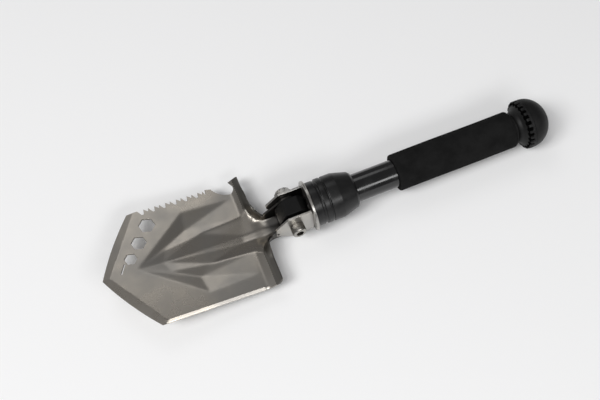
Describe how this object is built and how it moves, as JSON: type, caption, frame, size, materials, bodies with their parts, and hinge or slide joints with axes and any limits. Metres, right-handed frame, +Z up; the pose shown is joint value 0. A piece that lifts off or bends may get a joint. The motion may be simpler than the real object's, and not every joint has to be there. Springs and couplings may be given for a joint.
{
  "type": "folding camp shovel",
  "caption": "Folding camp shovel: pointed pressed steel blade with saw edge, wrench holes and bottle opener, clevis hinge, locking collar, foam grip and round end knob.",
  "frame": {"origin": "centre of the footprint, on the ground that the pressure ring and knob rest on", "axes": "+X along the handle from the blade's tip to the knob, +Y to the saw-toothed side, +Z up out of the blade's hollow face"},
  "size_m": [0.421, 0.1136, 0.046],
  "materials": {
    "blade_steel": "satin",
    "hardware_steel": "satin",
    "fastener_steel": "polished",
    "black_casting": "satin",
    "black_anodised": "satin",
    "black_lacquer": "gloss",
    "grip_foam": "matte",
    "knob_plastic": "satin",
    "bush_bronze": "satin",
    "seal_rubber": "matte"
  },
  "bodies": {
    "handle": {"yoke": "hardware_steel", "hinge_bolt": "fastener_steel", "nut_washer": "fastener_steel", "hinge_nut": "fastener_steel", "threaded_hub": "black_anodised", "hub_grub_screws": "fastener_steel", "yoke_screw": "fastener_steel", "yoke_lock_washer": "fastener_steel", "main_tube": "black_lacquer", "foam_grip": "grip_foam", "rear_plug": "black_anodised"},
    "blade_unit": {"blade": "blade_steel", "hinge_block": "black_casting", "block_screws": "fastener_steel", "pivot_bush": "bush_bronze"},
    "ring": {"pressure_ring": "hardware_steel"},
    "collar": {"locking_collar": "black_anodised"},
    "knob_seal": {"knob_o_ring": "seal_rubber"},
    "knob": {"knob_stud": "fastener_steel", "knob_base": "knob_plastic", "knob_cap": "knob_plastic"}
  },
  "joints": [
    {"name": "blade_fold", "type": "hinge", "parent": "handle", "child": "blade_unit", "pos_m": [-0.03787, -0.0008, 0.0222], "axis": [0, 1, 0], "range_deg": [0, 135]},
    {"name": "ring_travel", "type": "slide", "parent": "handle", "child": "ring", "axis": [1, 0, 0], "range_m": [0, 0.004]},
    {"name": "collar_turn", "type": "hinge", "parent": "ring", "child": "collar", "pos_m": [-0.01202, -0.0008, 0.023], "axis": [1, 0, 0], "range_deg": [0, 720]},
    {"name": "knob_travel", "type": "slide", "parent": "handle", "child": "knob_seal", "axis": [1, 0, 0], "range_m": [0, 0.012]},
    {"name": "knob_turn", "type": "hinge", "parent": "knob_seal", "child": "knob", "pos_m": [0.18298, -0.0008, 0.023], "axis": [1, 0, 0], "range_deg": [0, 2160]}
  ],
  "couplings": [
    {"joint": "ring_travel", "follows": "collar_turn", "m_per_rad": 0.00031831},
    {"joint": "knob_travel", "follows": "knob_turn", "m_per_rad": 0.00031831}
  ]
}
